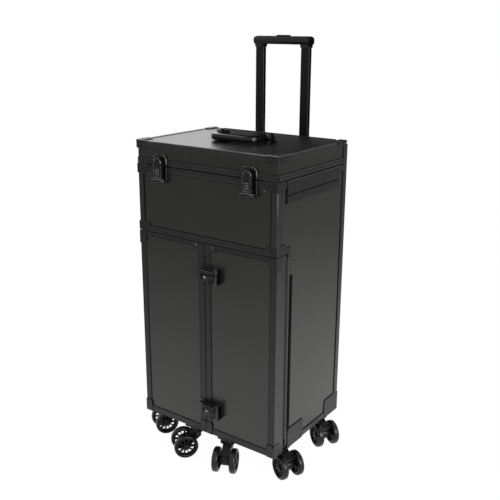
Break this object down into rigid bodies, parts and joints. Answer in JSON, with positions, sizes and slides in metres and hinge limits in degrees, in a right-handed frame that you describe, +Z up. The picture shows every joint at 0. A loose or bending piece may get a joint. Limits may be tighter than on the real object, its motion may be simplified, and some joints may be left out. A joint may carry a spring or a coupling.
{
  "type": "rolling makeup case",
  "caption": "Upright rolling makeup case with a hinged lid over an upper bin, two deep doors over a shelved cabinet, a telescopic trolley handle and twin-wheel casters.",
  "frame": {"origin": "on the ground under the middle of the case's width and depth, where the casters stand", "axes": "+X to the right in a front view, +Y to the back with the trolley handle, +Z up"},
  "size_m": [0.4366, 0.3487, 0.9515],
  "materials": {
    "panel": "satin black faced board",
    "lining": "matt dark lining",
    "trim": "satin black anodised",
    "hinge": "satin black",
    "latch": "semi-gloss black",
    "tube": "satin black anodised",
    "handle": "glossy black",
    "moulding": "fine grain black",
    "caster_steel": "zinc plated",
    "wheel": "dark grey moulded",
    "brake": "dark red moulded"
  },
  "bodies": {
    "cabinet": {"side_panels": "panel", "back_panel": "panel", "floor_panel": "lining", "bin_deck": "lining", "cabinet_shelf": "lining", "front_panel": "panel", "rim_frame": "trim", "header_frame": "trim", "edge_angles": "trim", "door_jambs": "trim", "corner_brackets": "trim", "side_rails": "trim", "lid_latch_bases": "latch", "caster_mounts": "caster_steel", "body_hinge_leaves": "hinge", "trolley_outer_tubes": "tube", "trolley_brackets": "moulding"},
    "trolley": {"trolley_inner_tubes": "tube", "trolley_grip": "handle"},
    "trolley_button": {"trolley_button": "moulding"},
    "lid": {"lid_top_panel": "panel", "lid_wall_panels": "panel", "lid_frame": "trim", "lid_corners": "trim", "lid_hinge_leaf": "hinge", "lid_latch_catches": "latch", "carry_handle_mounts": "handle"},
    "carry_handle": {"carry_handle": "handle"},
    "lid_latch_lever_left": {"lid_latch_lever_left": "latch"},
    "lid_latch_lever_right": {"lid_latch_lever_right": "latch"},
    "door_left": {"door_panel_left": "panel", "door_frame_left": "trim", "door_corners_left": "trim", "door_hinge_leaf_left": "hinge", "door_latch_keepers": "latch", "caster_mount_door_left": "caster_steel"},
    "door_right": {"door_panel_right": "panel", "door_frame_right": "trim", "door_corners_right": "trim", "door_hinge_leaf_right": "hinge", "door_latch_bases": "latch", "caster_mount_door_right": "caster_steel"},
    "door_latch_lever_upper": {"door_latch_lever_upper": "latch"},
    "door_latch_lever_lower": {"door_latch_lever_lower": "latch"},
    "caster_fork_front_left": {"caster_fork_front_left": "moulding"},
    "caster_wheels_front_left": {"caster_wheels_front_left": "wheel"},
    "caster_fork_front_right": {"caster_fork_front_right": "moulding"},
    "caster_wheels_front_right": {"caster_wheels_front_right": "wheel"},
    "caster_fork_back_left": {"caster_fork_back_left": "moulding"},
    "caster_wheels_back_left": {"caster_wheels_back_left": "wheel"},
    "caster_fork_back_right": {"caster_fork_back_right": "moulding"},
    "caster_wheels_back_right": {"caster_wheels_back_right": "wheel"},
    "caster_fork_door_left": {"caster_fork_door_left": "moulding"},
    "caster_wheels_door_left": {"caster_wheels_door_left": "wheel"},
    "caster_brake_door_left": {"caster_brake_door_left": "brake"},
    "caster_fork_door_right": {"caster_fork_door_right": "moulding"},
    "caster_wheels_door_right": {"caster_wheels_door_right": "wheel"},
    "caster_brake_door_right": {"caster_brake_door_right": "brake"}
  },
  "joints": [
    {"name": "lid_hinge", "type": "hinge", "parent": "cabinet", "child": "lid", "pos_m": [0, 0.1353, 0.728], "axis": [-1, 0, 0], "range_deg": [0, 80]},
    {"name": "carry_handle_fold", "type": "hinge", "parent": "lid", "child": "carry_handle", "pos_m": [0, 0.008, 0.7405], "axis": [-1, 0, 0], "range_deg": [0, 90]},
    {"name": "lid_latch_left_flip", "type": "hinge", "parent": "cabinet", "child": "lid_latch_lever_left", "pos_m": [-0.118, -0.146, 0.651], "axis": [1, 0, 0], "range_deg": [0, 100]},
    {"name": "lid_latch_right_flip", "type": "hinge", "parent": "cabinet", "child": "lid_latch_lever_right", "pos_m": [0.118, -0.146, 0.651], "axis": [1, 0, 0], "range_deg": [0, 100]},
    {"name": "door_left_hinge", "type": "hinge", "parent": "cabinet", "child": "door_left", "pos_m": [-0.185, -0.0975, 0.3], "axis": [0, 0, -1], "range_deg": [0, 160]},
    {"name": "door_right_hinge", "type": "hinge", "parent": "cabinet", "child": "door_right", "pos_m": [0.185, -0.0975, 0.3], "axis": [0, 0, 1], "range_deg": [0, 160]},
    {"name": "door_latch_upper_flip", "type": "hinge", "parent": "door_right", "child": "door_latch_lever_upper", "pos_m": [0.038, -0.15, 0.4625], "axis": [0, 0, 1], "range_deg": [0, 95]},
    {"name": "door_latch_lower_flip", "type": "hinge", "parent": "door_right", "child": "door_latch_lever_lower", "pos_m": [0.038, -0.15, 0.1425], "axis": [0, 0, 1], "range_deg": [0, 95]},
    {"name": "trolley_slide", "type": "slide", "parent": "cabinet", "child": "trolley", "axis": [0, 0, -1], "range_m": [0, 0.27]},
    {"name": "trolley_button_press", "type": "slide", "parent": "trolley", "child": "trolley_button", "axis": [0, 0, -1], "range_m": [0, 0.004], "stiffness_N_per_m": 600},
    {"name": "caster_front_left_swivel", "type": "hinge", "parent": "cabinet", "child": "caster_fork_front_left", "pos_m": [-0.16, -0.0661, 0.06], "axis": [0, 0, 1], "continuous": true},
    {"name": "caster_front_left_roll", "type": "hinge", "parent": "caster_fork_front_left", "child": "caster_wheels_front_left", "pos_m": [-0.17457, -0.08942, 0.0285], "axis": [0.848, -0.5299, 0], "continuous": true},
    {"name": "caster_front_right_swivel", "type": "hinge", "parent": "cabinet", "child": "caster_fork_front_right", "pos_m": [0.16, -0.0661, 0.06], "axis": [0, 0, 1], "continuous": true},
    {"name": "caster_front_right_roll", "type": "hinge", "parent": "caster_fork_front_right", "child": "caster_wheels_front_right", "pos_m": [0.18472, -0.07816, 0.0285], "axis": [0.4384, 0.8988, 0], "continuous": true},
    {"name": "caster_back_left_swivel", "type": "hinge", "parent": "cabinet", "child": "caster_fork_back_left", "pos_m": [-0.16, 0.1, 0.06], "axis": [0, 0, 1], "continuous": true},
    {"name": "caster_back_left_roll", "type": "hinge", "parent": "caster_fork_back_left", "child": "caster_wheels_back_left", "pos_m": [-0.1875, 0.1, 0.0285], "axis": [0, -1, 0], "continuous": true},
    {"name": "caster_back_right_swivel", "type": "hinge", "parent": "cabinet", "child": "caster_fork_back_right", "pos_m": [0.16, 0.1, 0.06], "axis": [0, 0, 1], "continuous": true},
    {"name": "caster_back_right_roll", "type": "hinge", "parent": "caster_fork_back_right", "child": "caster_wheels_back_right", "pos_m": [0.18332, 0.08543, 0.0285], "axis": [0.5299, 0.848, 0], "continuous": true},
    {"name": "caster_door_left_swivel", "type": "hinge", "parent": "door_left", "child": "caster_fork_door_left", "pos_m": [-0.048, -0.121, 0.06], "axis": [0, 0, 1], "continuous": true},
    {"name": "caster_door_left_roll", "type": "hinge", "parent": "caster_fork_door_left", "child": "caster_wheels_door_left", "pos_m": [-0.06493, -0.14267, 0.0285], "axis": [0.788, -0.6157, 0], "continuous": true},
    {"name": "caster_door_left_brake", "type": "hinge", "parent": "caster_fork_door_left", "child": "caster_brake_door_left", "pos_m": [-0.03569, -0.10524, 0.062], "axis": [-0.788, 0.6157, 0], "range_deg": [0, 14]},
    {"name": "caster_door_right_swivel", "type": "hinge", "parent": "door_right", "child": "caster_fork_door_right", "pos_m": [0.048, -0.121, 0.06], "axis": [0, 0, 1], "continuous": true},
    {"name": "caster_door_right_roll", "type": "hinge", "parent": "caster_fork_door_right", "child": "caster_wheels_door_right", "pos_m": [0.05919, -0.14612, 0.0285], "axis": [0.9135, 0.4067, 0], "continuous": true},
    {"name": "caster_door_right_brake", "type": "hinge", "parent": "caster_fork_door_right", "child": "caster_brake_door_right", "pos_m": [0.03986, -0.10273, 0.062], "axis": [-0.9135, -0.4067, 0], "range_deg": [0, 14]}
  ]
}
